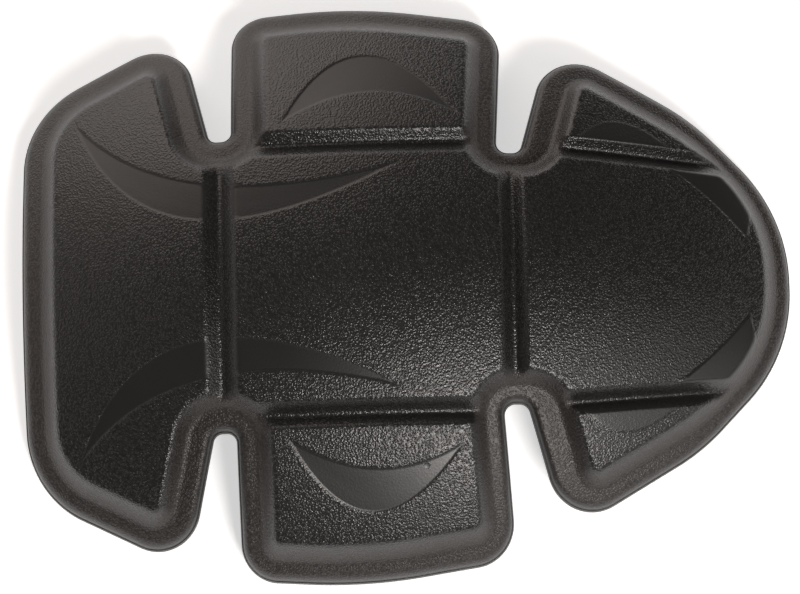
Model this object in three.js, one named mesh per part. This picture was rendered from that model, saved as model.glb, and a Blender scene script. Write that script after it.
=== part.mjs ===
// Shoulder protector: one moulded foam pad that cups over the shoulder.
// Sizes are millimetres. +X points to the narrow rounded end and +Z is the convex side.
// The pad is mirrored about the plane y = 0, and it rests on its rim on the plane z = 0.

import * as THREE from "three";
import { mergeVertices } from "three/addons/utils/BufferGeometryUtils.js";

// Plan of the pad, seen square on to the crown
const PAD_LENGTH = 205;
const PAD_WIDTH = 155;

// Crown: the inner skin is a shallow bowl with a small flat land where it lies on the shoulder
const CROWN_X = -10;
const CROWN_RADIUS_X = 180;
const CROWN_RADIUS_Y = 95;
const LAND_DEPTH = 0.8;

// Foam, measured square to the skin
const PANEL_THICKNESS = 9.5;
const FLANGE_THICKNESS = 4.5;
const GROOVE_FLOOR_THICKNESS = 6.5;
const CRESCENT_RISE = 0.4;

// Rim round every field, seen in plan
const RIM_WIDTH = 9.2;
const BEVEL_WIDTH = 3.2;
const FIELD_CORNER_ROUND = 1.6;
const FIELD_EDGE_ROUND = 1.3;
const FIELD_EDGE_DROP = 0.3;
const EDGE_DRAFT = 1.4;
const EDGE_ROUND = 0.8;

// Folds: lines where the pad flexes, which the grooves follow and the slots end
const WIDE_FOLD_X = -48.7;
const NARROW_FOLD_X = 26.8;
const SIDE_FOLD_Y = 35.3;
const FLAP_FOLD_Y = 34.7;
const FLAP_FOLD_FALL = 0.083;

// Slots between the flaps
const WIDE_SLOT_WIDTH = 5.6;
const WIDE_SLOT_END_Y = 38.6;
const NARROW_SLOT_WIDTH = 6.2;
const NARROW_SLOT_END_Y = 33.2;
const SLOT_ROUND_SHARE = 0.45;

// Grooves, across their raised edges
const WIDE_GROOVE_WIDTH = 7.7;
const NARROW_GROOVE_WIDTH = 6.3;
const SIDE_GROOVE_WIDTH = 6.3;
const FLAP_GROOVE_WIDTH = 5.6;

// Fineness of the surface
const EDGE_STEP = 2.7;
const GROOVE_STEP_SHARE = 0.36;
const CRESCENT_STEP = 4;
const FIELD_STEP = 7.5;
const SKIN_STEP = 10;
const ARC_STEP_DEGREES = 13;
const ROW_SHARE = 0.87;
const LAND_STEPS = 12;

// Least distances between points, so that no triangle is a sliver
const GROOVE_LINE_APART = 0.9;
const GROOVE_END_APART = 0.3;
const CRESCENT_APART = 1.4;
const ROW_APART_SHARE = 0.5;
const HAIR = 1e-3;

// How closely lines are worked out
const LONGEST_ARC_SHARE = 0.98;
const GROOVE_REACH_SHARE = 0.98;
const WITHIN_FIELD_SHARE = 0.45;
const HALVINGS = 24;

const HALF_LENGTH = PAD_LENGTH / 2;
const HALF_WIDTH = PAD_WIDTH / 2;
const WIDE_SLOT = { x: WIDE_FOLD_X, y: WIDE_SLOT_END_Y, width: WIDE_SLOT_WIDTH };
const NARROW_SLOT = { x: NARROW_FOLD_X, y: NARROW_SLOT_END_Y, width: NARROW_SLOT_WIDTH };

// Straight sides of one half of the outline, from the wide end round to the narrow end.
// along, across: a point on the side, as shares of the half length and the half width.
// slot, wall: for a slot's sides, the slot and the share of its width from its middle line.
// heading: degrees from +X, with the foam on the right.
// rim: share of RIM_WIDTH from this side to the raised field.
// round: share of the half width, for the corner where this side meets the next one. A corner
// inside a slot has none, and takes SLOT_ROUND_SHARE of the slot's width.
const SIDES = [
  { name: "wide end", along: -1, across: 0, heading: 90, rim: 1.02, round: 0.333 },
  { name: "wide flap slant", along: -0.868, across: 0.75, heading: 26.6, rim: 0.98, round: 0.15 },
  { name: "wide slot, flap wall", slot: WIDE_SLOT, wall: -0.5, heading: -76, rim: 1.08 },
  { name: "wide slot end", slot: WIDE_SLOT, wall: 0, heading: 0, rim: 1.03 },
  { name: "wide slot, side wall", slot: WIDE_SLOT, wall: 0.5, heading: 90, rim: 1, round: 0.128 },
  { name: "side flap, wide half", along: -0.127, across: 1.0099, heading: 4.2, rim: 0.97, round: 1.858 },
  { name: "side flap, narrow half", along: -0.127, across: 1.0099, heading: -8.3, rim: 0.97, round: 0.142 },
  { name: "narrow slot, side wall", slot: NARROW_SLOT, wall: -0.5, heading: -94.4, rim: 0.95 },
  { name: "narrow slot end", slot: NARROW_SLOT, wall: 0, heading: 0, rim: 0.87 },
  { name: "narrow slot, flap wall", slot: NARROW_SLOT, wall: 0.5, heading: 73.8, rim: 1.2, round: 0.155 },
  { name: "narrow flap slant", along: 0.488, across: 0.779, heading: -29.9, rim: 0.96, round: 0.774 },
  { name: "narrow flap shoulder", along: 0.907, across: 0.369, heading: -45.5, rim: 0.84, round: 0.557 },
  { name: "narrow end", along: 1, across: 0, heading: -90, rim: 0.88 },
];

// Grooves of one half, as centre lines that run past the fields they cut.
const GROOVES = [
  {
    from: plan(WIDE_FOLD_X, 0),
    to: plan(WIDE_FOLD_X, WIDE_SLOT_END_Y),
    width: WIDE_GROOVE_WIDTH,
  },
  {
    from: plan(NARROW_FOLD_X, 0),
    to: plan(NARROW_FOLD_X, NARROW_SLOT_END_Y),
    width: NARROW_GROOVE_WIDTH,
  },
  {
    from: plan(WIDE_FOLD_X, SIDE_FOLD_Y),
    to: plan(NARROW_FOLD_X, SIDE_FOLD_Y),
    width: SIDE_GROOVE_WIDTH,
  },
  {
    from: plan(NARROW_FOLD_X, FLAP_FOLD_Y),
    to: plan(HALF_LENGTH, FLAP_FOLD_Y - FLAP_FOLD_FALL * (HALF_LENGTH - NARROW_FOLD_X)),
    width: FLAP_GROOVE_WIDTH,
  },
];

// Round bottom of a groove: wide is the share of its half width, round adds shares of the edge round,
// drop adds shares of the edge drop, and deep is the share of the depth below the edge.
const GROOVE_PROFILE = [
  { wide: -1, round: -1, drop: 0, deep: 0 },
  { wide: -1, round: 0, drop: 1, deep: 0 },
  { wide: -0.6, round: 0, drop: 1, deep: 0.8 },
  { wide: 0, round: 0, drop: 1, deep: 1 },
  { wide: 0.6, round: 0, drop: 1, deep: 0.8 },
  { wide: 1, round: 0, drop: 1, deep: 0 },
  { wide: 1, round: 1, drop: 0, deep: 0 },
];

// Smooth crescents of one half. Each lies between two curves that share both tips, and each curve
// is drawn by one pull point. Points are shares of the half length and the half width.
// rise: share of CRESCENT_RISE, below 0 for a crescent that is sunk into the field.
// An outer curve that runs past the field's edge lets the patch fill the field up to that edge.
const CRESCENTS = [
  {
    name: "side flap",
    tip: [-0.313, 0.536],
    end: [0.128, 0.558],
    outer: [-0.122, 1.006],
    inner: [-0.087, 0.728],
    rise: 1,
  },
  {
    name: "wide fold",
    tip: [-0.849, 0.579],
    end: [-0.02, 0.377],
    outer: [-0.659, -0.066],
    inner: [-0.6, 0.179],
    rise: -0.8,
  },
  {
    name: "narrow end",
    tip: [0.655, 0.385],
    end: [0.875, 0.13],
    outer: [0.95, 0.52],
    inner: [0.765, 0.297],
    rise: 0.8,
  },
  {
    name: "wedge field",
    tip: [0.44, 0.46],
    end: [0.68, 0.44],
    outer: [0.53, 0.61],
    inner: [0.56, 0.42],
    rise: 0.5,
  },
];

function plan(x, y) {
  return { x, y };
}

function sidePoint(side) {
  if (side.slot) return plan(side.slot.x + side.wall * side.slot.width, side.slot.y);
  return plan(side.along * HALF_LENGTH, side.across * HALF_WIDTH);
}

function roundAfter(side) {
  return side.round ? side.round * HALF_WIDTH : SLOT_ROUND_SHARE * side.slot.width;
}

function between(a, b, share) {
  return plan(a.x + (b.x - a.x) * share, a.y + (b.y - a.y) * share);
}

function distance(a, b) {
  return Math.hypot(a.x - b.x, a.y - b.y);
}

// One side moved into the foam by its inset
function movedSide(side, inset) {
  const angle = THREE.MathUtils.degToRad(side.heading);
  const along = plan(Math.cos(angle), Math.sin(angle));
  const on = sidePoint(side);
  return { point: plan(on.x + along.y * inset, on.y - along.x * inset), along };
}

function crossing(a, b) {
  const cross = a.along.x * b.along.y - a.along.y * b.along.x;
  const gap = plan(b.point.x - a.point.x, b.point.y - a.point.y);
  const reach = (gap.x * b.along.y - gap.y * b.along.x) / cross;
  return plan(a.point.x + a.along.x * reach, a.point.y + a.along.y * reach);
}

// Corner between two sides: where they meet, how far they turn, and its radius at this inset
function cornerOf(index, insets, lines) {
  const side = SIDES[index];
  const next = SIDES[index + 1];
  const turn = THREE.MathUtils.degToRad(next.heading - side.heading);
  const inset = (insets[index] + insets[index + 1]) / 2;
  const round = roundAfter(side);
  const radius = turn < 0 ? Math.max(round - inset, FIELD_CORNER_ROUND) : round + inset;
  return { at: crossing(lines[index], lines[index + 1]), turn, radius };
}

// How far a corner's arc reaches along each of its sides
function arcReach(corner) {
  return corner.radius * Math.tan(Math.abs(corner.turn) / 2);
}

function shortenToFit(corners, length) {
  const room = LONGEST_ARC_SHARE * length;
  const wanted = corners.reduce((sum, corner) => sum + arcReach(corner), 0);
  if (wanted <= room) return;
  for (const corner of corners) corner.radius *= room / wanted;
}

// Corner arcs stay on the sides that carry them, and both end sides stop at the middle plane
function fitCorners(corners, lines) {
  shortenToFit([corners[0]], corners[0].at.y);
  shortenToFit([corners.at(-1)], corners.at(-1).at.y);
  for (let i = 1; i < corners.length; i++) {
    shortenToFit([corners[i - 1], corners[i]], distance(corners[i - 1].at, corners[i].at));
  }
  return corners.map((corner, index) => {
    const step = arcReach(corner);
    const before = lines[index].along;
    const start = plan(corner.at.x - before.x * step, corner.at.y - before.y * step);
    return { ...corner, start, before };
  });
}

function cornersAt(insetOf) {
  const insets = SIDES.map(insetOf);
  const lines = SIDES.map((side, index) => movedSide(side, insets[index]));
  const corners = SIDES.slice(0, -1).map((_, index) => cornerOf(index, insets, lines));
  return { corners: fitCorners(corners, lines), lines };
}

// Point on a corner's arc: its tangent turns steadily from one side to the next
function arcPoint(corner, share) {
  const turned = corner.turn * share;
  const sense = Math.sign(corner.turn);
  const { before, start, radius } = corner;
  const ahead = Math.sin(Math.abs(turned)) * radius;
  const sideways = (1 - Math.cos(turned)) * radius * sense;
  return plan(
    start.x + before.x * ahead - before.y * sideways,
    start.y + before.y * ahead + before.x * sideways,
  );
}

function arcSteps(outer, inner) {
  const turn = Math.abs(outer.turn);
  const longest = Math.max(outer.radius, inner.radius) * turn;
  return Math.ceil(Math.max(THREE.MathUtils.radToDeg(turn) / ARC_STEP_DEGREES, longest / EDGE_STEP));
}

const EDGE_THICKNESS = PANEL_THICKNESS - FIELD_EDGE_DROP;
const rimInset = (side) => side.rim * RIM_WIDTH;
const OUTSIDE = cornersAt(() => 0);
const FIELD_SIDE = cornersAt(rimInset);

// The outline moved in by an inset, as points from the wide end to the narrow end.
// Every such line has as many points as the others, so that they pair up into walls.
function ring(insetOf) {
  const { corners, lines } = cornersAt(insetOf);
  const points = [plan(lines[0].point.x, 0)];
  let from = points[0];
  let outsideFrom = plan(-HALF_LENGTH, 0);
  corners.forEach((corner, index) => {
    const outside = OUTSIDE.corners[index];
    const straight = Math.ceil(distance(outsideFrom, outside.start) / EDGE_STEP);
    for (let i = 1; i <= straight; i++) points.push(between(from, corner.start, i / straight));
    const steps = arcSteps(outside, FIELD_SIDE.corners[index]);
    for (let i = 1; i <= steps; i++) points.push(arcPoint(corner, i / steps));
    from = points.at(-1);
    outsideFrom = arcPoint(outside, 1);
  });
  const last = plan(lines.at(-1).point.x, 0);
  const straight = Math.ceil(distance(outsideFrom, plan(HALF_LENGTH, 0)) / EDGE_STEP);
  for (let i = 1; i <= straight; i++) points.push(between(from, last, i / straight));
  return points;
}

const RINGS = {
  back: ring(() => 0),
  frontWall: ring(() => EDGE_DRAFT),
  frontEdge: ring(() => EDGE_DRAFT + EDGE_ROUND),
  foot: ring((side) => rimInset(side) - BEVEL_WIDTH),
  edge: ring(rimInset),
  field: ring((side) => rimInset(side) + FIELD_EDGE_ROUND),
};

// Inside one half of a ring, which the line y = 0 closes. A point on that line counts as above it.
function inside(point, polygon) {
  const y = Math.max(point.y, HAIR);
  let within = false;
  polygon.forEach((a, index) => {
    const b = polygon[(index + 1) % polygon.length];
    if (a.y > y === b.y > y) return;
    if (point.x < a.x + ((y - a.y) / (b.y - a.y)) * (b.x - a.x)) within = !within;
  });
  return within;
}

function distanceToLine(point, line) {
  let nearest = Infinity;
  for (let i = 1; i < line.length; i++) {
    const a = line[i - 1];
    const b = line[i];
    const length = distance(a, b) || 1;
    const share = ((point.x - a.x) * (b.x - a.x) + (point.y - a.y) * (b.y - a.y)) / length ** 2;
    nearest = Math.min(nearest, distance(point, between(a, b, THREE.MathUtils.clamp(share, 0, 1))));
  }
  return nearest;
}

// How far a plan point lies from one ring (0) towards the next one in (1)
function shareBetween(point, outer, inner) {
  if (!inside(point, outer)) return 0;
  if (inside(point, inner)) return 1;
  const fromOuter = distanceToLine(point, outer);
  return fromOuter / (fromOuter + distanceToLine(point, inner));
}

// Thickness of the rim and the fields, as if no groove were cut
function rimThickness(point) {
  const bevel = shareBetween(point, RINGS.foot, RINGS.edge) * (EDGE_THICKNESS - FLANGE_THICKNESS);
  return FLANGE_THICKNESS + bevel + shareBetween(point, RINGS.edge, RINGS.field) * FIELD_EDGE_DROP;
}

// In a groove or on the round of its edge
function inGroove(point) {
  return GROOVES.some((groove) => {
    const reach = groove.width / 2 + GROOVE_REACH_SHARE * FIELD_EDGE_ROUND;
    return distanceToLine(point, [groove.from, groove.to]) < reach;
  });
}

// Plan points with their thickness, kept apart from each other
class Cloud {
  constructor() {
    this.points = [];
  }

  add(point, thickness, apart = 0) {
    if (point.y < 0) return;
    if (apart && this.points.some((other) => distance(other, point) < apart)) return;
    this.points.push({ ...point, thickness });
  }
}

// Where a line leaves the field: the last point at which the rim is as thick as the groove there
function leavingPoint(start, end, thickness) {
  let low = 0;
  let high = 1;
  for (let i = 0; i < HALVINGS; i++) {
    const middle = (low + high) / 2;
    const point = between(start, end, middle);
    if (inside(point, RINGS.foot) && rimThickness(point) >= thickness - HAIR) low = middle;
    else high = middle;
  }
  return between(start, end, low);
}

// Both ends of one line of a groove: the middle plane, or where the line leaves the field
function lineEnds(groove, moved, thickness) {
  const onMiddle = groove.from.y === 0;
  const middle = moved(between(groove.from, groove.to, onMiddle ? 0 : WITHIN_FIELD_SHARE));
  const start = onMiddle ? middle : leavingPoint(middle, moved(groove.from), thickness);
  return [start, leavingPoint(middle, moved(groove.to), thickness)];
}

function addGroove(cloud, groove) {
  const length = distance(groove.from, groove.to);
  const along = plan((groove.to.x - groove.from.x) / length, (groove.to.y - groove.from.y) / length);
  for (const { wide, round, drop, deep } of GROOVE_PROFILE) {
    const shift = (wide * groove.width) / 2 + round * FIELD_EDGE_ROUND;
    const moved = (point) => plan(point.x - along.y * shift, point.y + along.x * shift);
    const edge = PANEL_THICKNESS - drop * FIELD_EDGE_DROP;
    const thickness = edge - deep * (edge - GROOVE_FLOOR_THICKNESS);
    const [start, end] = lineEnds(groove, moved, thickness);
    const steps = Math.ceil(distance(start, end) / (GROOVE_STEP_SHARE * groove.width));
    for (let i = 0; i <= steps; i++) {
      const point = between(start, end, i / steps);
      const atEnd = i === steps || (i === 0 && start.y > 0);
      if (!atEnd) cloud.add(point, thickness, GROOVE_LINE_APART);
      else if (thickness > FLANGE_THICKNESS) cloud.add(point, thickness, GROOVE_END_APART);
    }
  }
}

function crescentCurve(crescent, pull) {
  const at = ([x, y]) => new THREE.Vector2(x * HALF_LENGTH, y * HALF_WIDTH);
  return new THREE.QuadraticBezierCurve(at(crescent.tip), at(pull), at(crescent.end));
}

// A crescent rises, or sinks, from both its curves to a line midway between them
function addCrescent(cloud, crescent) {
  const outer = crescentCurve(crescent, crescent.outer);
  const inner = crescentCurve(crescent, crescent.inner);
  const steps = Math.ceil(outer.getLength() / CRESCENT_STEP);
  for (let i = 0; i <= steps; i++) {
    for (const [share, rise] of [[0, 0], [0.5, crescent.rise * CRESCENT_RISE], [1, 0]]) {
      const point = between(outer.getPoint(i / steps), inner.getPoint(i / steps), share);
      if (!inside(point, RINGS.field) || inGroove(point)) continue;
      cloud.add(point, PANEL_THICKNESS + rise, CRESCENT_APART);
    }
  }
}

// Staggered rows of points that fill a region between its feature lines
function addRows(cloud, step, thickness, accepts) {
  const rowStep = step * ROW_SHARE;
  for (let row = 0; row * rowStep < HALF_WIDTH; row++) {
    const shift = row % 2 ? step / 2 : 0;
    for (let x = -HALF_LENGTH + shift; x < HALF_LENGTH; x += step) {
      const point = plan(x, row * rowStep);
      if (accepts(point)) cloud.add(point, thickness, step * ROW_APART_SHARE);
    }
  }
}

function frontCloud() {
  const cloud = new Cloud();
  RINGS.foot.forEach((point) => cloud.add(point, FLANGE_THICKNESS));
  RINGS.edge.filter((point) => !inGroove(point)).forEach((point) => cloud.add(point, EDGE_THICKNESS));
  RINGS.field.filter((point) => !inGroove(point)).forEach((point) => cloud.add(point, PANEL_THICKNESS));
  GROOVES.forEach((groove) => addGroove(cloud, groove));
  CRESCENTS.forEach((crescent) => addCrescent(cloud, crescent));
  addRows(cloud, FIELD_STEP, PANEL_THICKNESS, (point) => inside(point, RINGS.field) && !inGroove(point));
  return cloud.points;
}

function backCloud() {
  const cloud = new Cloud();
  RINGS.back.forEach((point) => cloud.add(point, 0));
  for (let i = 0; i <= LAND_STEPS; i++) {
    const angle = (Math.PI * i) / LAND_STEPS;
    const x = CROWN_X + Math.cos(angle) * Math.sqrt(2 * CROWN_RADIUS_X * LAND_DEPTH);
    const y = Math.sin(angle) * Math.sqrt(2 * CROWN_RADIUS_Y * LAND_DEPTH);
    cloud.add(plan(x, i % LAND_STEPS ? y : 0), 0);
  }
  addRows(cloud, SKIN_STEP, 0, (point) => inside(point, RINGS.back));
  return cloud.points;
}

// Delaunay triangles of plan points, made by adding one point at a time. A hair's shift along X,
// which differs from point to point, keeps evenly spaced points off a common circle.
function triangulate(points) {
  const far = 1000 * PAD_LENGTH;
  const shifted = points.map((point, index) => plan(point.x + HAIR * Math.sin(13 * index), point.y));
  const all = [...shifted, plan(-far, -far), plan(far, -far), plan(0, far)];
  let triangles = [circled(all, points.length, points.length + 1, points.length + 2)];
  shifted.forEach((point, index) => {
    const open = new Map();
    triangles = triangles.filter((triangle) => {
      if (distance(point, triangle.centre) >= triangle.radius) return true;
      const [a, b, c] = triangle.corners;
      for (const [from, to] of [[a, b], [b, c], [c, a]]) {
        if (!open.delete(`${to} ${from}`)) open.set(`${from} ${to}`, [from, to]);
      }
      return false;
    });
    for (const [from, to] of open.values()) triangles.push(circled(all, from, to, index));
  });
  const found = triangles.map((triangle) => triangle.corners);
  return found.filter((corners) => Math.max(...corners) < points.length);
}

function circled(points, a, b, c) {
  const [p, q, r] = [points[a], points[b], points[c]];
  const [x1, y1, x2, y2] = [q.x - p.x, q.y - p.y, r.x - p.x, r.y - p.y];
  const twice = 2 * (x1 * y2 - y1 * x2);
  const [s1, s2] = [x1 * x1 + y1 * y1, x2 * x2 + y2 * y2];
  const offset = plan((y2 * s1 - y1 * s2) / twice, (x1 * s2 - x2 * s1) / twice);
  return {
    corners: [a, b, c],
    centre: plan(p.x + offset.x, p.y + offset.y),
    radius: Math.hypot(offset.x, offset.y),
  };
}

// Triangles of a cloud that lie within its boundary ring, seen anticlockwise from above
function sheet(points, boundary) {
  return triangulate(points)
    .map((corners) => corners.map((corner) => points[corner]))
    .filter(([a, b, c]) => {
      const area = (b.x - a.x) * (c.y - a.y) - (b.y - a.y) * (c.x - a.x);
      if (Math.abs(area) < HAIR) return false;
      return inside(plan((a.x + b.x + c.x) / 3, (a.y + b.y + c.y) / 3), boundary);
    });
}

function crownDrop(point) {
  const along = (point.x - CROWN_X) ** 2 / (2 * CROWN_RADIUS_X);
  return along + point.y ** 2 / (2 * CROWN_RADIUS_Y);
}

// Lowest point of the inner skin, which is what the pad rests on
const REST_DROP = Math.max(...RINGS.back.map(crownDrop));

// Foam is pulled from its mould straight up, so thickness is laid off along Z
function placed(point) {
  const drop = crownDrop(point);
  const lean = Math.hypot(1, (point.x - CROWN_X) / CROWN_RADIUS_X, point.y / CROWN_RADIUS_Y);
  const onSkin = point.thickness === 0;
  const skin = onSkin ? Math.max(drop, LAND_DEPTH) : drop;
  return new THREE.Vector3(point.x, point.y, REST_DROP - skin + point.thickness * lean);
}

function wall(upper, upperThickness, lower, lowerThickness) {
  const triangles = [];
  for (let i = 1; i < upper.length; i++) {
    const [u0, u1] = [upper[i - 1], upper[i]].map((point) => ({ ...point, thickness: upperThickness }));
    const [l0, l1] = [lower[i - 1], lower[i]].map((point) => ({ ...point, thickness: lowerThickness }));
    triangles.push([l0, u0, u1], [l0, u1, l1]);
  }
  return triangles;
}

function halfPad() {
  const wallThickness = FLANGE_THICKNESS - EDGE_ROUND;
  return [
    ...sheet(frontCloud(), RINGS.foot),
    ...wall(RINGS.foot, FLANGE_THICKNESS, RINGS.frontEdge, FLANGE_THICKNESS),
    ...wall(RINGS.frontEdge, FLANGE_THICKNESS, RINGS.frontWall, wallThickness),
    ...wall(RINGS.frontWall, wallThickness, RINGS.back, 0),
    ...sheet(backCloud(), RINGS.back).map(([a, b, c]) => [a, c, b]),
  ];
}

function mirrored([a, b, c]) {
  return [a, c, b].map((point) => ({ ...point, y: -point.y }));
}

function padGeometry() {
  const half = halfPad();
  const corners = [...half, ...half.map(mirrored)].flat().map(placed);
  const geometry = new THREE.BufferGeometry().setFromPoints(corners);
  const merged = mergeVertices(geometry, HAIR);
  merged.computeVertexNormals();
  return merged;
}

const foam = new THREE.MeshStandardMaterial({ color: 0x1c1b1a, roughness: 0.82, metalness: 0 });
const pad = new THREE.Mesh(padGeometry(), foam);
pad.name = "foam_pad";

const shoulderProtector = new THREE.Group();
shoulderProtector.add(pad);
export default shoulderProtector;
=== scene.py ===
"""Shoulder protector: the look of one moulded foam pad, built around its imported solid.

Everything is in metres in the solid's own frame: +X to the narrow rounded end, +Z out of the convex
side, the pad mirrored about the plane y = 0 and resting on z = 0. Plan points are worked out in
millimetres, as a pattern maker draws them, and become metres when the mesh is made.
"""

from __future__ import annotations

import logging
import math
from dataclasses import dataclass, field
from enum import Enum
from typing import Any, Callable, Mapping, Sequence, Union

import bmesh
import bpy
import numpy as np
from mathutils import Matrix, Vector
from mathutils.geometry import delaunay_2d_cdt
from mathutils.kdtree import KDTree


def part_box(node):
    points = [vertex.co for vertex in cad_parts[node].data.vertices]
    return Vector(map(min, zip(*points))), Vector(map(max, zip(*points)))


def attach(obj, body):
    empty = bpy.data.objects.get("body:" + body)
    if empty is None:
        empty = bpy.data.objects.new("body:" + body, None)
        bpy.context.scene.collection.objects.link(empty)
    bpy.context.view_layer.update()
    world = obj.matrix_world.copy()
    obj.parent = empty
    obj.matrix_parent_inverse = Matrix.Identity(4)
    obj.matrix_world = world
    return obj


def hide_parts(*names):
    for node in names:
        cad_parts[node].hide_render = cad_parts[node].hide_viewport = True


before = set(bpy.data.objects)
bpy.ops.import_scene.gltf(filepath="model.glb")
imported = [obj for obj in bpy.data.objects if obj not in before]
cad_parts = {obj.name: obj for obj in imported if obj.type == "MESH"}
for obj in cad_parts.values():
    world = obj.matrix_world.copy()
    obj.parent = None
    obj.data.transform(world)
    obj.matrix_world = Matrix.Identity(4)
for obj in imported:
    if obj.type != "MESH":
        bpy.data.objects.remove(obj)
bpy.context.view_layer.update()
LOG = logging.getLogger("shoulder_protector")

NODE = "foam_pad"
BODY = "root"
MM = 0.001

# Keeps a division clear of 0
TINY = 1e-12
# Points this near the line y = 0 lie on it
ON_AXIS = 1e-9
# Lifts points on y = 0 just into the half that a ring closes
AXIS_LIFT = 1e-6
# Plan points nearer than this are one when triangles are filled in
ONE_POINT = 1e-7

Points = np.ndarray
Insets = Callable[["Side"], float]


def plan_half_sizes() -> tuple[float, float]:
    """Half the pad's length and width.

    Returns:
        The two half sizes in millimetres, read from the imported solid.
    """
    low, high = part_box(NODE)
    return (high[0] - low[0]) / 2 / MM, (high[1] - low[1]) / 2 / MM


HALF_LENGTH, HALF_WIDTH = plan_half_sizes()


class Wall(Enum):
    """Which wall of a slot a side of the outline is."""

    NONE = "none"
    WIDE_SLOT = "wide slot"
    NARROW_SLOT = "narrow slot"


@dataclass(frozen=True)
class Side:
    """One straight side of the outline, with the foam on its right.

    x and y are a point on it, heading is in degrees from +X, rim is the share of the rim's width
    from it to the raised field, and round is the share of the corner radius where it meets the
    next side.
    """

    x: float
    y: float
    heading: float
    rim: float
    round: float = 0.0
    wall: Wall = Wall.NONE


@dataclass(frozen=True)
class Groove:
    """A flex groove: a straight centre line and its width between the raised edges.

    round is how far its bottom and its edges are rounded along the plan, and shoulder is how far
    the round of an edge reaches beyond the width.
    """

    start: tuple[float, float]
    end: tuple[float, float]
    width: float
    shoulder: float = 0.7
    round: float = 0.5

    @property
    def reach(self) -> float:
        """How far the groove and its shoulder reach from the centre line."""
        return self.width / 2 + self.shoulder

    def across(self, points: Points) -> Points:
        """Share of the reach at which each plan point lies from the centre line."""
        a, b = np.array(self.start), np.array(self.end)
        along = (b - a) / np.linalg.norm(b - a)
        ahead = np.clip((points - a) @ along, 0, np.linalg.norm(b - a))
        nearest = a + ahead[:, None] * along
        return np.linalg.norm(points - nearest, axis=1) / self.reach

    def left(self, points: Points) -> Points:
        """Share of its depth that the groove leaves at each point: 0 on the centre line, 1 beside it."""
        wall = self.reach - 2 * self.round
        return rounded_ramp((self.across(points) * self.reach - self.round) / wall, self.round / wall)


@dataclass(frozen=True)
class Crescent:
    """A smooth crescent, slightly raised or sunk, between two curves that share both tips.

    Each curve has one pull point. Points are shares of the half length and the half width. rise is
    in millimetres and below 0 for a sunk crescent.
    """

    tip: tuple[float, float]
    end: tuple[float, float]
    outer: tuple[float, float]
    inner: tuple[float, float]
    rise: float = 0.35
    smooth: float = 1.0

    def curve(self, pull: tuple[float, float], steps: int) -> Points:
        """Points along the curve that one pull point draws."""
        scale = np.array([HALF_LENGTH, HALF_WIDTH])
        a, c, b = (np.array(p) * scale for p in (self.tip, pull, self.end))
        t = np.linspace(0, 1, steps + 1)[:, None]
        return (1 - t) ** 2 * a + 2 * t * (1 - t) * c + t**2 * b

    def outline(self, steps: int = 48) -> Points:
        """Closed outline of the crescent."""
        return np.vstack([self.curve(self.outer, steps), self.curve(self.inner, steps)[-2:0:-1]])


@dataclass(frozen=True)
class Crown:
    """The shallow bowl that the pad is moulded to."""

    centre_x: float = -10.0
    radius_along: float = 180.0
    radius_across: float = 95.0
    land_depth: float = 0.8

    def drop(self, points: Points) -> Points:
        """How far the inner skin lies below the bowl's apex at each plan point."""
        along = (points[:, 0] - self.centre_x) ** 2 / (2 * self.radius_along)
        return along + points[:, 1] ** 2 / (2 * self.radius_across)

    def lean(self, points: Points) -> Points:
        """How much thicker the foam is along Z than square to the skin."""
        slope_along = (points[:, 0] - self.centre_x) / self.radius_along
        slope_across = points[:, 1] / self.radius_across
        return np.sqrt(1 + slope_along**2 + slope_across**2)


def distance_to_line(points: Points, line: Points, chunk: int = 4000) -> Points:
    """Distance from each point to a plan line.

    Args:
        points: Plan points.
        line: The line's corners, in order.
        chunk: How many points are worked on together.

    Returns:
        One distance for each point.
    """
    a, b = line[:-1], line[1:]
    step = b - a
    length2 = np.maximum((step**2).sum(1), TINY)
    found = []
    for first in range(0, len(points), chunk):
        gap = points[first : first + chunk, None, :] - a[None]
        share = np.clip((gap * step[None]).sum(2) / length2[None], 0, 1)
        off = gap - share[:, :, None] * step[None]
        found.append(np.sqrt((off**2).sum(2).min(1)))
    return np.concatenate(found) if found else np.zeros(0)


def inside(points: Points, polygon: Points, chunk: int = 8000) -> np.ndarray:
    """Which points lie inside a closed polygon.

    Args:
        points: Plan points. Against a half's ring, which starts on y = 0, one on that line is inside.
        polygon: The corners in order, without the first one again.
        chunk: How many points are worked on together.

    Returns:
        True for each point inside.
    """
    a, b = polygon, np.roll(polygon, -1, axis=0)
    rise = np.where(np.abs(b[:, 1] - a[:, 1]) < TINY, TINY, b[:, 1] - a[:, 1])
    lowest = AXIS_LIFT if polygon[0, 1] == 0 else -np.inf
    found = []
    for first in range(0, len(points), chunk):
        part = points[first : first + chunk]
        x, y = part[:, :1], np.maximum(part[:, 1:], lowest)
        crosses = (a[None, :, 1] > y) != (b[None, :, 1] > y)
        reach = a[None, :, 0] + (y - a[None, :, 1]) / rise[None] * (b - a)[None, :, 0]
        found.append((crosses & (x < reach)).sum(1) % 2 == 1)
    return np.concatenate(found) if found else np.zeros(0, bool)


def smooth_step(value: Points) -> Points:
    """A ramp from 0 to 1 with level ends."""
    t = np.clip(value, 0, 1)
    return t * t * (3 - 2 * t)


def soft_positive(value: Points, soft: float) -> Points:
    """The value where it is above 0 and otherwise 0, with the corner between them rounded."""
    low = np.clip(value + soft, 0, 2 * soft)
    return low**2 / (4 * soft) + np.maximum(value - soft, 0)


def rounded_ramp(value: Points, soft: float) -> Points:
    """A straight ramp from 0 to 1 whose two corners are rounded over a share of its width."""
    return soft_positive(value, soft) - soft_positive(value - 1, soft)


def soft_minimum(a: Points, b: Points, width: Points) -> Points:
    """The lower of two heights, with the edge between them rounded."""
    blend = np.clip(0.5 + 0.5 * (b - a) / width, 0, 1)
    return b * (1 - blend) + a * blend - width * blend * (1 - blend)


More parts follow.
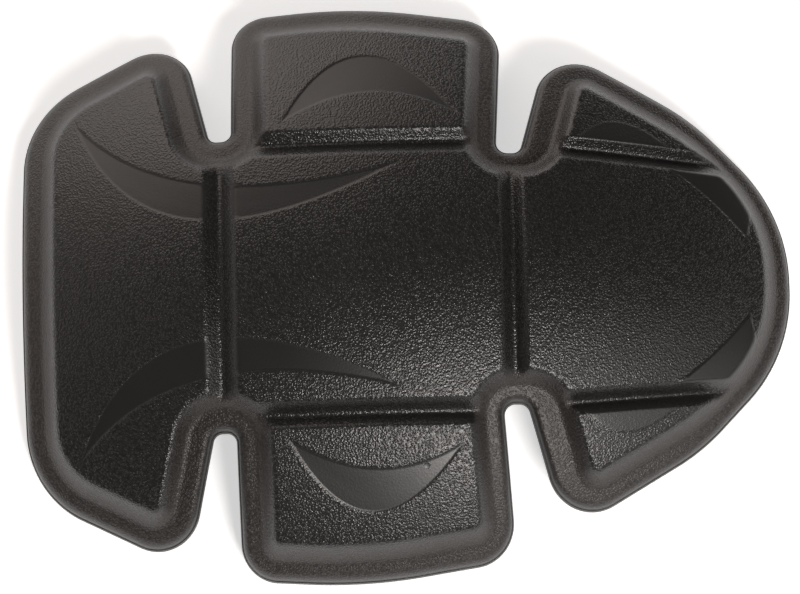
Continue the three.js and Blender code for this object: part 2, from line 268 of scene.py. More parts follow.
@dataclass(frozen=True)
class Folds:
    """Lines where the pad flexes: the grooves follow them and the slots end on them.

    flap_fall is how far the flap fold falls for each millimetre along the pad.
    """

    wide_x: float = -48.7
    narrow_x: float = 26.8
    side_y: float = 35.3
    flap_y: float = 34.7
    flap_fall: float = 0.083
    wide_slot_width: float = 5.6
    wide_slot_end_y: float = 38.6
    narrow_slot_width: float = 6.2
    narrow_slot_end_y: float = 33.2
    wide_groove_width: float = 7.7
    narrow_groove_width: float = 6.3
    side_groove_width: float = 6.3
    flap_groove_width: float = 5.6

    def grooves(self) -> tuple[Groove, ...]:
        """The grooves of one half, as lines that run past the fields they cut."""
        flap_end = self.flap_y - self.flap_fall * (HALF_LENGTH - self.narrow_x)
        return (
            Groove((self.wide_x, 0), (self.wide_x, self.wide_slot_end_y), self.wide_groove_width),
            Groove((self.narrow_x, 0), (self.narrow_x, self.narrow_slot_end_y), self.narrow_groove_width),
            Groove((self.wide_x, self.side_y), (self.narrow_x, self.side_y), self.side_groove_width),
            Groove((self.narrow_x, self.flap_y), (HALF_LENGTH, flap_end), self.flap_groove_width),
        )


@dataclass
class Outline:
    """The pad's plan outline and the rings that follow it at any distance inside."""

    folds: Folds = field(default_factory=Folds)
    corner_round: float = 12.0
    field_corner_round: float = 1.6
    rim_width: float = 9.2
    slot_round_share: float = 0.45
    longest_arc_share: float = 0.98
    step: float = 0.75

    def sides(self) -> list[Side]:
        """Sides of one half, from the wide end round to the narrow end."""
        f = self.folds
        wide, narrow = f.wide_slot_width / 2, f.narrow_slot_width / 2
        flap_x, flap_y = -0.127 * HALF_LENGTH, 1.0099 * HALF_WIDTH
        slant_x, slant_y = 0.488 * HALF_LENGTH, 0.779 * HALF_WIDTH
        return [
            Side(-HALF_LENGTH, 0, 90, 1.02, 2.15),
            Side(-0.868 * HALF_LENGTH, 0.75 * HALF_WIDTH, 26.6, 0.98, 0.97),
            Side(f.wide_x - wide, f.wide_slot_end_y, -76, 1.08, wall=Wall.WIDE_SLOT),
            Side(f.wide_x, f.wide_slot_end_y, 0, 1.03, wall=Wall.WIDE_SLOT),
            Side(f.wide_x + wide, f.wide_slot_end_y, 90, 1, 0.83),
            Side(flap_x, flap_y, 4.2, 0.97, 12),
            Side(flap_x, flap_y, -8.3, 0.97, 0.92),
            Side(f.narrow_x - narrow, f.narrow_slot_end_y, -94.4, 0.95, wall=Wall.NARROW_SLOT),
            Side(f.narrow_x, f.narrow_slot_end_y, 0, 0.87, wall=Wall.NARROW_SLOT),
            Side(f.narrow_x + narrow, f.narrow_slot_end_y, 73.8, 1.2, 1),
            Side(slant_x, slant_y, -29.9, 0.96, 5),
            Side(0.907 * HALF_LENGTH, 0.369 * HALF_WIDTH, -45.5, 0.84, 3.6),
            Side(HALF_LENGTH, 0, -90, 0.88),
        ]

    def rim_inset(self, side: Side) -> float:
        """How far the raised field lies inside one side."""
        return side.rim * self.rim_width

    def _round(self, side: Side) -> float:
        """Radius of the outline's corner at the end of one side."""
        if side.wall is Wall.NONE:
            return side.round * self.corner_round
        folds = self.folds
        width = folds.wide_slot_width if side.wall is Wall.WIDE_SLOT else folds.narrow_slot_width
        return self.slot_round_share * width

    def _corners(self, inset_of: Insets) -> list[dict[str, Any]]:
        """Corner arcs of the outline moved in by an inset.

        Args:
            inset_of: Gives each side's inset.

        Returns:
            For each corner its turn, radius, first point and first heading.
        """
        sides = self.sides()
        lines = []
        for side in sides:
            angle = math.radians(side.heading)
            along = np.array([math.cos(angle), math.sin(angle)])
            inset = inset_of(side)
            lines.append((np.array([side.x + along[1] * inset, side.y - along[0] * inset]), along))
        corners = []
        for (a, u), (b, v), side, after in zip(lines, lines[1:], sides, sides[1:]):
            gap, cross = b - a, u[0] * v[1] - u[1] * v[0]
            at = a + u * ((gap[0] * v[1] - gap[1] * v[0]) / cross)
            turn = math.radians(after.heading - side.heading)
            inset = (inset_of(side) + inset_of(after)) / 2
            wanted = self._round(side)
            radius = max(wanted - inset, self.field_corner_round) if turn < 0 else wanted + inset
            corners.append({"at": at, "turn": turn, "radius": radius, "along": u})
        self._fit(corners)
        return corners

    def _fit(self, corners: list[dict[str, Any]]) -> None:
        """Shortens arcs that would overrun the side between them, and finds where each starts."""

        def reach(corner: dict[str, Any]) -> float:
            """How far the arc starts from the corner."""
            return corner["radius"] * math.tan(abs(corner["turn"]) / 2)

        for one, two in zip(corners, corners[1:]):
            length = self.longest_arc_share * np.linalg.norm(one["at"] - two["at"])
            wanted = reach(one) + reach(two)
            if wanted > length:
                one["radius"] *= length / wanted
                two["radius"] *= length / wanted
        for corner in corners:
            corner["start"] = corner["at"] - corner["along"] * reach(corner)

    @staticmethod
    def _arc(corner: dict[str, Any], share: float) -> np.ndarray:
        """Point on a corner's arc."""
        turned, along = corner["turn"] * share, corner["along"]
        ahead = math.sin(abs(turned)) * corner["radius"]
        aside = (1 - math.cos(turned)) * corner["radius"] * math.copysign(1, corner["turn"])
        return corner["start"] + along * ahead + np.array([-along[1], along[0]]) * aside

    def ring(self, inset_of: Insets, step: float | None = None) -> Points:
        """The outline moved in by an inset, from the wide end to the narrow end.

        Rings of one step have equally many points, so neighbours pair up into strips.

        Args:
            inset_of: Gives each side's inset in millimetres.
            step: Distance between points on the outline, or None for the outline's own.

        Returns:
            Plan points; the first and the last lie on y = 0.
        """
        step = step or self.step
        outside, field_side = self._corners(lambda side: 0.0), self._corners(self.rim_inset)
        corners, sides = self._corners(inset_of), self.sides()
        first = np.array([-HALF_LENGTH + inset_of(sides[0]), 0.0])
        last = np.array([HALF_LENGTH - inset_of(sides[-1]), 0.0])
        points, here, there = [first], first, np.array([-HALF_LENGTH, 0.0])
        for corner, out, inner in zip(corners, outside, field_side):
            count = math.ceil(np.linalg.norm(out["start"] - there) / step)
            points += [here + (corner["start"] - here) * (i / count) for i in range(1, count + 1)]
            arc = math.ceil(max(out["radius"], inner["radius"]) * abs(corner["turn"]) / step)
            points += [self._arc(corner, i / arc) for i in range(1, arc + 1)]
            here, there = points[-1], self._arc(out, 1)
        count = math.ceil(np.linalg.norm(np.array([HALF_LENGTH, 0.0]) - there) / step)
        points += [here + (last - here) * (i / count) for i in range(1, count + 1)]
        return np.array(points)


@dataclass
class Relief:
    """How thick the foam is at each plan point, square to the skin, in millimetres.

    bevel_soft is the share of the bevel over which its foot and its top are rounded, and coarse is
    the step of the lines that the thickness is measured from.
    """

    outline: Outline
    field: float = 9.5
    flange: float = 4.5
    groove_floor: float = 6.5
    bevel_width: float = 3.2
    floor_round: float = 0.6
    bevel_soft: float = 0.3
    coarse: float = 2.0

    def __post_init__(self) -> None:
        """Draws the lines that the thickness is measured from."""
        rim = self.outline.rim_inset
        self.foot = self.outline.ring(lambda side: rim(side) - self.bevel_width, self.coarse)
        self.edge = self.outline.ring(rim, self.coarse)
        self.grooves = self.outline.folds.grooves()

    def bevel_share(self, points: Points) -> Points:
        """How far up the bevel each point lies: 0 at its foot, 1 at its top, and on past both."""
        to_foot, to_edge = distance_to_line(points, self.foot), distance_to_line(points, self.edge)
        in_foot, in_edge = inside(points, self.foot), inside(points, self.edge)
        between = to_foot / np.maximum(to_foot + to_edge, TINY)
        beyond = 1 + to_edge / self.bevel_width
        before = -to_foot / self.bevel_width
        return np.where(in_edge, beyond, np.where(in_foot, between, before))

    def thickness(self, points: Points, share: Points, crescents: Points) -> Points:
        """Foam thickness at each plan point.

        Args:
            points: Plan points in millimetres.
            share: Their bevel_share.
            crescents: How much the crescents raise each point.

        Returns:
            Thickness in millimetres.
        """
        rim = self.flange + rounded_ramp(share, self.bevel_soft) * (self.field - self.flange)
        floor = soft_minimum(rim, np.full_like(rim, self.groove_floor), self.floor_round)
        return floor + (rim + crescents - floor) * self.uncut(points)

    def uncut(self, points: Points) -> Points:
        """Share of the depth that the grooves leave: 0 on a centre line and 1 beside a groove."""
        left = np.ones(len(points))
        for groove in self.grooves:
            left *= groove.left(points)
        return left


@dataclass
class CrescentSet:
    """The smooth crescents of one half: patches that carry no grain, raised or sunk by a little.

    Over crown_reach from its edge, a crescent's rise grows by crown_share. beside says where the
    mesh has lines along an edge, as shares of the step's width.
    """

    step_width: float = 0.55
    crown_share: float = 0.25
    crown_reach: float = 4.0
    margin: float = 2.0
    rough_steps: int = 40
    beside: tuple[float, ...] = (0.55, 1.1)
    # One on the side flap, one across the wide fold, one at the narrow end and one on the wedge
    crescents: tuple[Crescent, ...] = (
        Crescent((-0.313, 0.536), (0.128, 0.558), (-0.122, 1.006), (-0.087, 0.728), rise=-0.25),
        Crescent((-0.849, 0.579), (-0.02, 0.377), (-0.659, -0.066), (-0.6, 0.179), rise=-0.22),
        Crescent((0.655, 0.385), (0.875, 0.13), (0.95, 0.52), (0.765, 0.297), rise=0.25),
        Crescent((0.44, 0.46), (0.68, 0.44), (0.53, 0.61), (0.56, 0.42), rise=0.12, smooth=0.7),
    )

    def rise_and_mask(self, points: Points) -> tuple[Points, Points]:
        """How much the crescents raise each point, and how smooth they make it.

        Args:
            points: Plan points in millimetres.

        Returns:
            The rise in millimetres, and a share from 0, full grain, to 1, smooth.
        """
        rise, mask = np.zeros(len(points)), np.zeros(len(points))
        for crescent in self.crescents:
            outline = crescent.outline()
            closed = np.vstack([outline, outline[:1]])
            low, high = outline.min(0) - self.margin, outline.max(0) + self.margin
            near = np.all((points > low) & (points < high), axis=1)
            part = points[near]
            within = np.where(inside(part, outline), 1.0, -1.0)
            depth = within * distance_to_line(part, closed)
            level = smooth_step(0.5 + depth / self.step_width)
            crown = 1 + self.crown_share * np.clip(depth / self.crown_reach, 0, 1)
            rise[near] += level * crescent.rise * crown
            mask[near] = np.maximum(mask[near], level * crescent.smooth)
        return rise, mask

    def edge_lines(self, step: float) -> list[Points]:
        """Lines along each crescent's edge and on both sides of it, for the mesh to follow."""
        lines = []
        for crescent in self.crescents:
            for pull in (crescent.outer, crescent.inner):
                rough = crescent.curve(pull, self.rough_steps)
                length = np.linalg.norm(np.diff(rough, axis=0), axis=1).sum()
                curve = crescent.curve(pull, math.ceil(length / step))
                lines.append(curve)
                for share in self.beside:
                    lines += self._beside(curve, share)
        return lines

    def _beside(self, curve: Points, share: float) -> tuple[Points, Points]:
        """The same curve moved a share of the step's width to each side."""
        ahead = np.gradient(curve, axis=0)
        ahead /= np.linalg.norm(ahead, axis=1)[:, None]
        aside = np.stack([-ahead[:, 1], ahead[:, 0]], axis=1) * self.step_width * share
        return curve + aside, curve - aside


class Cloud:
    """Plan points for the mesh, kept apart from each other."""

    def __init__(self, first: Points) -> None:
        """Starts from points that are all kept."""
        self.points = first

    def add(self, points: Points, apart: float) -> None:
        """Adds the points that lie on the half with y at or above 0 and clear of the others.

        Args:
            points: New plan points.
            apart: Least distance to the points already there.
        """
        points = points[points[:, 1] >= 0]
        tree = KDTree(len(self.points))
        for index, (x, y) in enumerate(self.points):
            tree.insert((x, y, 0), index)
        tree.balance()
        free = [tree.find((x, y, 0))[2] > apart for x, y in points]
        self.points = np.vstack([self.points, points[np.array(free, bool)]]) if any(free) else self.points


def thinned(points: Points, apart: float) -> Points:
    """Drops each point that lies too near an earlier one of the same list.

    Args:
        points: Plan points, the ones to keep first.
        apart: Least distance between kept points, counted along x and y together.

    Returns:
        The kept points, in their old order.
    """
    cells: dict[tuple[int, int], list[np.ndarray]] = {}
    kept = []
    for point in points:
        key = (int(point[0] // apart), int(point[1] // apart))
        places = [(key[0] + i, key[1] + j) for i in (-1, 0, 1) for j in (-1, 0, 1)]
        around = [q for place in places for q in cells.get(place, ())]
        if all(abs(q[0] - point[0]) + abs(q[1] - point[1]) > apart for q in around):
            cells.setdefault(key, []).append(point)
            kept.append(point)
    return np.array(kept)


def staggered_rows(step: float, row_share: float, ring: Points) -> Points:
    """Points in staggered rows over one half.

    Args:
        step: Distance between the points of a row, in millimetres.
        row_share: Distance between rows, as a share of the step.
        ring: The half's ring, which the points lie inside.

    Returns:
        Plan points.
    """
    row_step = step * row_share
    rows = []
    for row in range(math.ceil(HALF_WIDTH / row_step)):
        x = np.arange(-HALF_LENGTH + (row % 2) * step / 2, HALF_LENGTH, step)
        rows.append(np.column_stack([x, np.full(len(x), row * row_step)]))
    points = np.vstack(rows)
    return points[inside(points, ring)]


def filled(boundary: Points, points: Points) -> tuple[Points, np.ndarray]:
    """Triangles between a boundary and the points within it.

    Args:
        boundary: One half's ring, which the line y = 0 closes.
        points: Plan points, the ring's own first.

    Returns:
        The points that the triangles use, and the triangles, anticlockwise from above.
    """
    count = len(boundary)
    axis = [i for i in range(count, len(points)) if points[i, 1] == 0]
    axis.sort(key=lambda i: -points[i, 0])
    loop = list(range(count)) + axis
    edges = [(a, b) for a, b in zip(loop, loop[1:] + loop[:1])]
    coords = [Vector((float(x), float(y))) for x, y in points]
    made = delaunay_2d_cdt(coords, edges, [], 0, ONE_POINT, False)
    verts = np.array([(v.x, v.y) for v in made[0]])
    faces = np.array([list(f) for f in made[2]], dtype=np.int64)
    faces = faces[inside(verts[faces].mean(1), boundary)]
    a, b, c = verts[faces[:, 0]], verts[faces[:, 1]], verts[faces[:, 2]]
    area = (b[:, 0] - a[:, 0]) * (c[:, 1] - a[:, 1]) - (b[:, 1] - a[:, 1]) * (c[:, 0] - a[:, 0])
    faces[area < 0] = faces[area < 0][:, ::-1]
    return verts, faces


@dataclass
class MeshParts:
    """Vertices and faces of one half, gathered sheet by sheet."""

    verts: list[Points] = field(default_factory=list)
    masks: list[Points] = field(default_factory=list)
    faces: list[list[int]] = field(default_factory=list)
    count: int = 0

    def add(self, verts: Points, masks: Points, faces: Sequence[Sequence[int]]) -> None:
        """Adds one sheet.

        Args:
            verts: Its places in metres.
            masks: Its smooth, rim and side shares, one row a vertex.
            faces: Its faces as indices of its own vertices.
        """
        self.verts.append(verts)
        self.masks.append(masks)
        self.faces += [[i + self.count for i in face] for face in faces]
        self.count += len(verts)

    def mirrored(self) -> "MeshParts":
        """The half and its mirror image about y = 0."""
        verts, masks = np.vstack(self.verts), np.vstack(self.masks)
        both = MeshParts()
        both.add(verts, masks, self.faces)
        both.add(verts * np.array([1, -1, 1]), masks, [face[::-1] for face in self.faces])
        return both


def strip(rows: int, columns: int) -> list[tuple[int, int, int, int]]:
    """Quads between rings of equally many points, from the inner ring out and down."""
    return [
        (r * columns + i, r * columns + i + 1, (r + 1) * columns + i + 1, (r + 1) * columns + i)
        for r in range(rows - 1)
        for i in range(columns - 1)
    ]


@dataclass(frozen=True)
class Spacing:
    """How close the mesh's points lie, in millimetres, or as shares where the name says so.

    apart keeps the points of one kind from each other, and clear keeps them from the points that
    are there before them. weld is in metres.
    """

    grid: float = 1.15
    grid_clear_share: float = 0.52
    skin: float = 3.0
    skin_clear_share: float = 0.4
    row_share: float = 0.87
    bevel_share: float = 0.14
    bevel_reach_share: float = 1.5
    bevel_apart: float = 0.28
    bevel_clear: float = 0.25
    groove_rows: int = 11
    groove_reach_share: float = 1.1
    groove_along: float = 0.7
    groove_apart: float = 0.3
    groove_clear: float = 0.28
    groove_from_foot: float = 0.35
    crescent_along: float = 0.8
    crescent_apart: float = 0.27
    crescent_clear: float = 0.4
    crescent_from_groove_share: float = 0.7
    flange_rows: int = 7
    edge_rows: int = 5
    wall_rows: int = 4
    back_rows: int = 2
    lip: float = 1.6
    weld: float = 2e-6


@dataclass
class FoamPad:
    """The one moulding: panels, bevels, flange, grooves, crescents, side wall and inner skin.

    The smooth patches fade in from patch_from on the bevel's share, over patch_fade, and from
    patch_uncut of the grooves' share, over patch_uncut_fade. The rim's finish, with its rougher surface,
    its dust and its painted reflection, ends in the same way.
    """

    crown: Crown = field(default_factory=Crown)
    outline: Outline = field(default_factory=Outline)
    crescents: CrescentSet = field(default_factory=CrescentSet)
    spacing: Spacing = field(default_factory=Spacing)
    edge_draft: float = 0.7
    edge_round: float = 1.9
    back_round: float = 0.45
    patch_from: float = 0.7
    patch_fade: float = 0.4
    patch_uncut: float = 0.7
    patch_uncut_fade: float = 0.25
    rim_finish_from: float = 0.4
    rim_finish_fade: float = 0.9
    lip_share: float = 0.6

    def __post_init__(self) -> None:
        """Works out the relief and the level that the pad rests on."""
        self.relief = Relief(self.outline)
        self.back = self.outline.ring(lambda side: 0.0)
        self.rest = float(self.crown.drop(self.back).max())

    def _placed(self, points: Points, thickness: Points) -> Points:
        """Places in metres of plan points at a foam thickness."""
        z = self.rest - self.crown.drop(points) + thickness * self.crown.lean(points)
        return np.column_stack([points, z]) * MM

    def _across(self, points: Points) -> Points:
        """How far each point lies from the nearest groove's centre line, as a share of its reach."""
        return np.min([groove.across(points) for groove in self.relief.grooves], axis=0)

    def _bevel_rows(self) -> Points:
        """Ring points from the bevel's foot to just past its top."""
        rim, width, gaps = self.outline.rim_inset, self.relief.bevel_width, self.spacing
        shares = np.arange(gaps.bevel_share, gaps.bevel_reach_share, gaps.bevel_share)
        rings = [self.outline.ring(lambda side, s=s: rim(side) - width * (1 - s)) for s in shares]
        points = np.vstack(rings)
        return points[self._across(points) > 1]

    def _groove_rows(self, foot: Points) -> Points:
        """Points along each groove, close together where its walls are steep."""
        gaps = self.spacing
        shares = np.linspace(0, gaps.groove_reach_share, gaps.groove_rows)
        rows = []
        for groove in self.relief.grooves:
            a, b = np.array(groove.start), np.array(groove.end)
            length = np.linalg.norm(b - a)
            along = (b - a) / length
            aside = np.array([-along[1], along[0]]) * groove.reach
            steps = np.linspace(0, length, math.ceil(length / gaps.groove_along) + 1)[:, None]
            for share in sorted({*shares, *(-s for s in shares)}):
                rows.append(a + steps * along + aside * share)
        points = np.vstack(rows)
        points[np.abs(points[:, 1]) < ON_AXIS, 1] = 0
        points = points[inside(points, foot) & (points[:, 1] >= 0)]
        clear = distance_to_line(points, foot) > gaps.groove_from_foot
        return thinned(points[clear], gaps.groove_apart)

    def _front(self, parts: MeshParts) -> None:
        """Fields, bevels, grooves and crescents, inside the bevel's foot."""
        rim, width, gaps = self.outline.rim_inset, self.relief.bevel_width, self.spacing
        foot = self.outline.ring(lambda side: rim(side) - width)
        cloud = Cloud(foot)
        cloud.add(thinned(self._bevel_rows(), gaps.bevel_apart), gaps.bevel_clear)
        cloud.add(self._groove_rows(foot), gaps.groove_clear)
        edges = np.vstack(self.crescents.edge_lines(gaps.crescent_along))
        edges = edges[inside(edges, foot) & (self._across(edges) > gaps.crescent_from_groove_share)]
        cloud.add(thinned(edges, gaps.crescent_apart), gaps.crescent_clear)
        cloud.add(staggered_rows(gaps.grid, gaps.row_share, foot), gaps.grid * gaps.grid_clear_share)
        verts, faces = filled(foot, cloud.points)
        share = self.relief.bevel_share(verts)
        share[: len(foot)] = 0
        rise, smooth = self.crescents.rise_and_mask(verts)
        on_field = smooth_step((share - self.patch_from) / self.patch_fade)
        off_groove = smooth_step((self.relief.uncut(verts) - self.patch_uncut) / self.patch_uncut_fade)
        fade = on_field * off_groove
        thickness = self.relief.thickness(verts, share, rise * fade)
        # The rim share brings the flange's rougher surface, its dust and its painted reflection, fading
        # out up the bevel.
        rim_like = 1 - smooth_step((share - self.rim_finish_from) / self.rim_finish_fade)
        masks = np.column_stack([smooth * fade, rim_like, np.zeros(len(verts))])
        parts.add(self._placed(verts, thickness), masks, faces.tolist())

    def _rim(self, parts: MeshParts) -> None:
        """The flange, its rounded front edge, the drafted wall and the small round at the back."""
        rim, width, gaps = self.outline.rim_inset, self.relief.bevel_width, self.spacing
        edge, flange = self.edge_draft + self.edge_round, self.relief.flange
        wall = flange - self.edge_round
        rings, heights, sides = [], [], []

        def add(inset_of: Insets, height: float, side: float) -> None:
            """Adds one ring at a height, with its share of the side wall's painted shade and flattened
            grain.
            """
            rings.append(self.outline.ring(inset_of))
            heights.append(height)
            sides.append(side)

        for share in np.linspace(0, 1, gaps.flange_rows):
            add(lambda s, t=share: (rim(s) - width) * (1 - t) + edge * t, flange, 0.0)
        for share in np.arange(1, gaps.edge_rows + 1) / gaps.edge_rows:
            ahead, down = math.sin(share * math.pi / 2), 1 - math.cos(share * math.pi / 2)
            add(lambda s, d=edge - self.edge_round * ahead: d, flange - self.edge_round * down, share)
        for share in np.arange(1, gaps.wall_rows + 1) / gaps.wall_rows:
            inset = self.edge_draft * (1 - share)
            add(lambda s, d=inset: d, wall + (self.back_round - wall) * share, 1.0)
        for share in np.arange(1, gaps.back_rows + 1) / gaps.back_rows:
            aside, down = 1 - math.cos(share * math.pi / 2), math.sin(share * math.pi / 2)
            add(lambda s, d=self.back_round * aside: d, self.back_round * (1 - down), 1.0)
        points = np.vstack(rings)
        share = self.relief.bevel_share(points)
        share[: len(self.back)] = 0
        swell = self.relief.thickness(points, np.minimum(share, 0), np.zeros(len(points))) - flange
        # The rim share brings the flange's dust and painted reflection, and the side share paints the
        # rounded edge and the wall darker as shade.
        side = np.repeat(sides, len(self.back))
        masks = np.column_stack([np.zeros(len(points)), np.ones(len(points)), side])
        placed = self._placed(points, np.repeat(heights, len(self.back)) + swell)
        parts.add(placed, masks, strip(len(rings), len(self.back)))

    def _skin(self, parts: MeshParts) -> None:
        """The smooth hollow side that lies on the shoulder."""
        ring, gaps = self.outline.ring(lambda side: self.back_round), self.spacing
        cloud = Cloud(ring)
        cloud.add(staggered_rows(gaps.skin, gaps.row_share, ring), gaps.skin * gaps.skin_clear_share)
        verts, faces = filled(ring, cloud.points)
        placed = self._placed(verts, np.zeros(len(verts)))
        placed[:, 2] -= np.maximum(self.crown.land_depth - self.crown.drop(verts), 0) * MM
        # The side share paints the inner skin darker as shade.
        masks = np.column_stack([np.zeros((len(verts), 2)), np.ones(len(verts))])
        parts.add(placed, masks, faces[:, ::-1].tolist())

    def build(self, material: bpy.types.Material) -> bpy.types.Object:
        """Makes the pad.

        Args:
            material: The foam.

        Returns:
            The finished object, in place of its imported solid.
        """
        half = MeshParts()
        self._front(half)
        self._rim(half)
        self._skin(half)
        both = half.mirrored()
        mesh = bpy.data.meshes.new("moulded_foam")
        mesh.from_pydata(np.vstack(both.verts).tolist(), [], both.faces)
        masks = np.vstack(both.masks)
        attribute = mesh.attributes.new("finish", "FLOAT_COLOR", "POINT")
        attribute.data.foreach_set("color", np.column_stack([masks, np.ones(len(masks))]).ravel())
        merge_doubles(mesh, self.spacing.weld)
        mesh.polygons.foreach_set("use_smooth", [True] * len(mesh.polygons))
        mesh.materials.append(material)
        pad = bpy.data.objects.new("moulded_foam_pad", mesh)
        bpy.context.scene.collection.objects.link(pad)
        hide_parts(NODE)
        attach(pad, BODY)
        return pad

    def lip_path(self) -> tuple[Points, Points]:
        """The parting line's path round the outline.

        Returns:
            Places in metres along the upper half and, in the same order, on round the lower half.
        """
        inset = self.edge_draft * self.lip_share
        ring = self.outline.ring(lambda side: inset, self.spacing.lip)
        wall = self.relief.flange - self.edge_round
        height = self.back_round + (wall - self.back_round) * (inset / self.edge_draft)
        upper = self._placed(ring, np.full(len(ring), height))
        return upper, upper[-2:0:-1] * np.array([1, -1, 1])


def merge_doubles(mesh: bpy.types.Mesh, apart: float) -> None:
    """Joins vertices that lie on each other, and logs open edges and the volume.

    Args:
        mesh: The mesh, changed in place.
        apart: Greatest distance in metres between vertices that are one.
    """
    work = bmesh.new()
    work.from_mesh(mesh)
    bmesh.ops.remove_doubles(work, verts=work.verts, dist=apart)
    open_edges = sum(1 for edge in work.edges if len(edge.link_faces) != 2)
    volume = work.calc_volume(signed=True) * 1e6
    LOG.info("%s: %d vertices, %d open edges, %.1f cm3", mesh.name, len(work.verts), open_edges, volume)
    work.to_mesh(mesh)
    work.free()


Number = Union["Value", float]


class Value:
    """A shader socket that can be worked with as a number."""

    def __init__(self, shader: "Shader", socket: bpy.types.NodeSocket) -> None:
        """Keeps the socket and the shader that it belongs to."""
        self.shader = shader
        self.socket = socket

    def _with(self, operation: str, a: Number, b: Number) -> "Value":
        """A Math node on two values."""
        return self.shader.node("ShaderNodeMath", {"operation": operation}, {0: a, 1: b}).value()

    def __add__(self, other: Number) -> "Value":
        """Sum."""
        return self._with("ADD", self, other)

    def __radd__(self, other: Number) -> "Value":
        """Sum, with the number on the left."""
        return self._with("ADD", other, self)

    def __sub__(self, other: Number) -> "Value":
        """Difference."""
        return self._with("SUBTRACT", self, other)

    def __rsub__(self, other: Number) -> "Value":
        """Difference, with the number on the left."""
        return self._with("SUBTRACT", other, self)

    def __mul__(self, other: Number) -> "Value":
        """Product."""
        return self._with("MULTIPLY", self, other)

    def __rmul__(self, other: Number) -> "Value":
        """Product, with the number on the left."""
        return self._with("MULTIPLY", other, self)

    def __pow__(self, other: Number) -> "Value":
        """Power."""
        return self._with("POWER", self, other)

    def clamped(self) -> "Value":
        """The value kept between 0 and 1."""
        return self.shader.node("ShaderNodeClamp", {}, {0: self, 1: 0.0, 2: 1.0}).value()


class Made:
    """A node that the shader has made."""

    def __init__(self, shader: "Shader", node: bpy.types.Node) -> None:
        """Keeps the node and its shader."""
        self.shader = shader
        self.node = node

    def value(self, name: str | int = 0) -> Value:
        """One of the node's outputs."""
        return Value(self.shader, self.node.outputs[name])


class Shader:
    """Builds one material's nodes."""

    def __init__(self, name: str) -> None:
        """Makes an empty material."""
        self.material = bpy.data.materials.new(name)
        self.material.use_nodes = True
        self.tree = self.material.node_tree
        self.tree.nodes.clear()

    def node(self, kind: str, settings: Mapping[str, Any], inputs: Mapping[str | int, Any]) -> Made:
        """Makes any node.

        Args:
            kind: The node's type.
            settings: Its properties, and under "stops" a ramp's positions and colours.
            inputs: Values or links of its sockets.

        Returns:
            The node.
        """
        made = self.tree.nodes.new(kind)
        for name, setting in settings.items():
            if name == "stops":
                self._fill_ramp(made.color_ramp, setting)
            else:
                setattr(made, name, setting)
        for name, given in inputs.items():
            if isinstance(given, Value):
                self.tree.links.new(given.socket, made.inputs[name])
            else:
                made.inputs[name].default_value = given
        return Made(self, made)

    @staticmethod
    def _fill_ramp(ramp: bpy.types.ColorRamp, stops: Sequence[tuple[float, tuple[float, ...]]]) -> None:
        """Sets a ramp's stops."""
        while len(ramp.elements) < len(stops):
            ramp.elements.new(0.5)
        for element, (place, color) in zip(ramp.elements, stops):
            element.position = place
            element.color = color

    def mixed(self, share: Number, a: Any, b: Any) -> Value:
        """A colour between two colours."""
        settings = {"data_type": "RGBA", "clamp_factor": True}
        return self.node("ShaderNodeMix", settings, {0: share, 6: a, 7: b}).value(2)


@dataclass(frozen=True)
class Pebble:
    """The moulded grain: rounded cells of uneven size, with fine creases and a finer bloom on top.

    size is a cell's width and depth the grain's height, in metres. warp and fine give the scales of
    the noise that bends the cells and of the bloom, against the cells' own. level is the grain's
    mean height, which smooth patches keep.
    """

    size: float = 0.00058
    depth: float = 0.00014
    strength: float = 0.9
    warp: float = 0.6
    warp_reach: float = 1.1
    softness: float = 0.25
    slope: float = 1.3
    cell_share: float = 0.85
    fine: float = 1.9
    fine_share: float = 0.2
    base: float = 0.12
    level: float = 0.55

    def height(self, shader: Shader, place: Value) -> Value:
        """Height of the grain.

        Args:
            shader: The shader that it is made in.
            place: Object coordinates.

        Returns:
            A height from about 0 in a crease to 1 on a pebble.
        """
        noise = {"Vector": place, "Scale": self.warp / self.size, "Detail": 1.0}
        warp = shader.node("ShaderNodeTexNoise", {}, noise).value("Color")
        reach = (self.warp_reach * self.size,) * 3
        pushed = shader.node(
            "ShaderNodeVectorMath", {"operation": "MULTIPLY_ADD"}, {0: warp, 1: reach, 2: place}
        ).value()
        cells = shader.node(
            "ShaderNodeTexVoronoi",
            {"feature": "SMOOTH_F1"},
            {"Vector": pushed, "Scale": 1 / self.size, "Smoothness": self.softness, "Randomness": 1.0},
        ).value("Distance")
        noise = {"Vector": place, "Scale": self.fine / self.size, "Detail": 2.0}
        fine = shader.node("ShaderNodeTexNoise", {}, noise).value()
        domes = (1 - cells * self.slope).clamped() ** self.slope
        return domes * self.cell_share + (fine - 0.5) * self.fine_share + self.base


